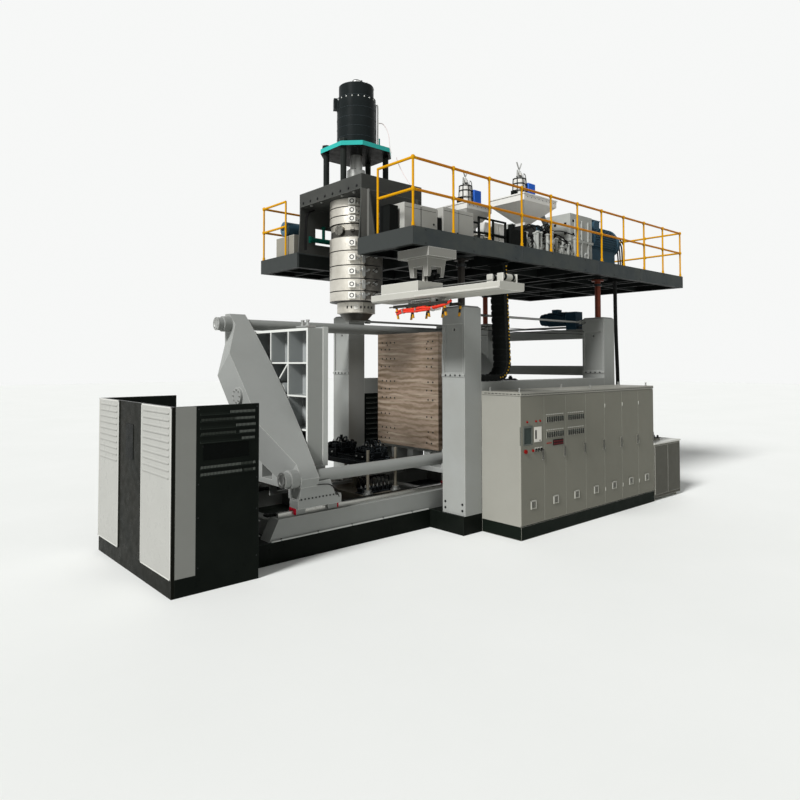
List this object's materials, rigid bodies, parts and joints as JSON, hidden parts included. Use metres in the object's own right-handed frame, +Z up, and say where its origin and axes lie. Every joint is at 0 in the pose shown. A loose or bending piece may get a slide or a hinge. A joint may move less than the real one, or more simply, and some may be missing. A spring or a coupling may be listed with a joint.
{
  "type": "blow moulding machine",
  "caption": "Large accumulator-head extrusion blow moulding machine: diagonal-beam clamp on rails, lifting extruder platform, take-out robot and control cabinet.",
  "frame": {"origin": "on the floor, straight below the middle of the die", "axes": "+X along the clamp stroke towards the extruder drives, +Y from the operator's side to the rear, +Z up"},
  "size_m": [11.882, 5.78, 7.79],
  "materials": {
    "frame_grey": "smooth semi-gloss grey paint",
    "base_black": "semi-gloss black paint",
    "ring_grey": "smooth grey paint, bare machined faces",
    "machined_steel": "ground and polished",
    "oiled_steel": "machined, oiled, with brownish streaks",
    "guard_paint": "satin light grey and black paint",
    "cabinet_paint": "satin grey-beige paint",
    "platform_paint": "dark grey paint",
    "rail_yellow": "gloss yellow paint",
    "portal_paint": "dark grey paint",
    "head_steel": "banded bright sheet steel",
    "teal_paint": "gloss teal paint",
    "hydraulic_black": "semi-gloss near-black paint",
    "motor_blue": "dark blue paint",
    "box_grey": "light grey powder coat",
    "screw_steel": "brown protective finish",
    "robot_white": "satin off-white paint",
    "jaw_bronze": "bronze and black fingers",
    "chain_black": "moulded black links with yellow pins",
    "hose_black": "ribbed black cover",
    "button_red": "red moulded cap"
  },
  "bodies": {
    "base": {"base_sections": "base_black", "cross_sills": "base_black", "bed_frame": "frame_grey", "guide_rails": "machined_steel", "column_near_left": "frame_grey", "column_far_left": "frame_grey", "column_near_right": "frame_grey", "column_far_right": "frame_grey", "side_beams": "frame_grey", "end_beams": "frame_grey", "lift_motor": "motor_blue", "guard_end_panel": "guard_paint", "guard_near_wing": "guard_paint", "guard_far_wing": "guard_paint", "rear_louvre_guard": "base_black", "control_cabinet": "cabinet_paint", "low_cabinet": "cabinet_paint", "energy_chain": "chain_black", "service_hose": "hose_black", "blow_unit_base": "frame_grey"},
    "left_clamp": {"clamp_beam": "ring_grey", "left_carriage": "frame_grey", "left_platen": "ring_grey", "tie_bars": "machined_steel", "tail_beam": "ring_grey", "clamp_cylinder": "hydraulic_black"},
    "right_clamp": {"right_platen": "oiled_steel", "right_carriage": "frame_grey", "clamp_rod": "machined_steel"},
    "platform": {"platform_frame": "platform_paint", "guardrail": "rail_yellow", "head_portal": "portal_paint", "portal_walls": "portal_paint", "accumulator_head": "head_steel", "cylinder_flange": "teal_paint", "flange_stays": "machined_steel", "push_cylinder": "hydraulic_black", "extruder_barrels": "head_steel", "gearboxes": "hydraulic_black", "drive_motors": "motor_blue", "hoppers": "box_grey", "platform_cabinets": "box_grey", "lift_screws": "screw_steel", "robot_bracket": "robot_white"},
    "push_ram": {"push_ram": "machined_steel"},
    "lift_shaft_near": {"lift_shaft_near": "machined_steel"},
    "lift_shaft_far": {"lift_shaft_far": "machined_steel"},
    "lift_shaft_end": {"lift_shaft_end": "machined_steel"},
    "sync_pinion": {"sync_pinion": "machined_steel"},
    "blow_table": {"blow_table": "frame_grey"},
    "spreader_near": {"spreader_near": "machined_steel"},
    "spreader_far": {"spreader_far": "machined_steel"},
    "robot_beam": {"robot_beam": "robot_white"},
    "robot_gripper": {"robot_gripper": "robot_white"},
    "gripper_jaw_left": {"gripper_jaw_left": "jaw_bronze"},
    "gripper_jaw_right": {"gripper_jaw_right": "jaw_bronze"},
    "cabinet_door_operator": {"cabinet_door_operator": "cabinet_paint"},
    "cabinet_door_heating": {"cabinet_door_heating": "cabinet_paint"},
    "stop_button": {"stop_button": "button_red"},
    "start_button": {"start_button": "button_red"}
  },
  "joints": [
    {"name": "left_clamp_slide", "type": "slide", "parent": "base", "child": "left_clamp", "axis": [1, 0, 0], "range_m": [0, 0.6]},
    {"name": "right_clamp_slide", "type": "slide", "parent": "base", "child": "right_clamp", "axis": [1, 0, 0], "range_m": [-0.6, 0]},
    {"name": "sync_pinion_turn", "type": "hinge", "parent": "base", "child": "sync_pinion", "pos_m": [0, 0.35, 0.655], "axis": [0, 0, 1], "range_deg": [-1, 432]},
    {"name": "platform_lift", "type": "slide", "parent": "base", "child": "platform", "axis": [0, 0, 1], "range_m": [0, 0.4]},
    {"name": "lift_shaft_near_turn", "type": "hinge", "parent": "base", "child": "lift_shaft_near", "pos_m": [3, -1.475, 3.6], "axis": [1, 0, 0], "range_deg": [-1, 2882]},
    {"name": "lift_shaft_far_turn", "type": "hinge", "parent": "base", "child": "lift_shaft_far", "pos_m": [3, 1.25, 3.6], "axis": [1, 0, 0], "range_deg": [-1, 2882]},
    {"name": "lift_shaft_end_turn", "type": "hinge", "parent": "base", "child": "lift_shaft_end", "pos_m": [5.14, 0, 3.525], "axis": [0, 1, 0], "range_deg": [-1, 2882]},
    {"name": "push_ram_slide", "type": "slide", "parent": "platform", "child": "push_ram", "axis": [0, 0, 1], "range_m": [-0.3, 0]},
    {"name": "robot_beam_slide", "type": "slide", "parent": "platform", "child": "robot_beam", "axis": [0, 1, 0], "range_m": [-0.7, 0.45]},
    {"name": "robot_gripper_slide", "type": "slide", "parent": "robot_beam", "child": "robot_gripper", "axis": [0, 1, 0], "range_m": [-0.35, 0.35]},
    {"name": "gripper_jaw_left_turn", "type": "hinge", "parent": "robot_gripper", "child": "gripper_jaw_left", "pos_m": [-0.28, -2, 3.6347], "axis": [0, 1, 0], "range_deg": [0, 25]},
    {"name": "gripper_jaw_right_turn", "type": "hinge", "parent": "robot_gripper", "child": "gripper_jaw_right", "pos_m": [-0.1, -2, 3.6347], "axis": [0, 1, 0], "range_deg": [-25, 0]},
    {"name": "blow_table_lift", "type": "slide", "parent": "base", "child": "blow_table", "axis": [0, 0, 1], "range_m": [-0.2, 0.1]},
    {"name": "spreader_near_slide", "type": "slide", "parent": "blow_table", "child": "spreader_near", "axis": [0, 1, 0], "range_m": [-0.1, 0.1]},
    {"name": "spreader_far_slide", "type": "slide", "parent": "blow_table", "child": "spreader_far", "axis": [0, 1, 0], "range_m": [-0.1, 0.1]},
    {"name": "cabinet_door_operator_hinge", "type": "hinge", "parent": "base", "child": "cabinet_door_operator", "pos_m": [1.142, -2.7, 1.2], "axis": [0, 0, 1], "range_deg": [-100, 0]},
    {"name": "cabinet_door_heating_hinge", "type": "hinge", "parent": "base", "child": "cabinet_door_heating", "pos_m": [1.752, -2.7, 1.2], "axis": [0, 0, 1], "range_deg": [-100, 0]},
    {"name": "stop_button_press", "type": "slide", "parent": "cabinet_door_operator", "child": "stop_button", "axis": [0, 1, 0], "range_m": [0, 0.004], "stiffness_N_per_m": 400},
    {"name": "start_button_press", "type": "slide", "parent": "cabinet_door_operator", "child": "start_button", "axis": [0, 1, 0], "range_m": [0, 0.004], "stiffness_N_per_m": 400}
  ],
  "couplings": [
    {"joint": "right_clamp_slide", "follows": "left_clamp_slide", "ratio": -1},
    {"joint": "sync_pinion_turn", "follows": "left_clamp_slide", "rad_per_m": 12.5},
    {"joint": "lift_shaft_near_turn", "follows": "platform_lift", "rad_per_m": 125.66},
    {"joint": "lift_shaft_far_turn", "follows": "platform_lift", "rad_per_m": 125.66},
    {"joint": "lift_shaft_end_turn", "follows": "platform_lift", "rad_per_m": 125.66},
    {"joint": "gripper_jaw_right_turn", "follows": "gripper_jaw_left_turn", "ratio": -1},
    {"joint": "spreader_far_slide", "follows": "spreader_near_slide", "ratio": -1}
  ]
}
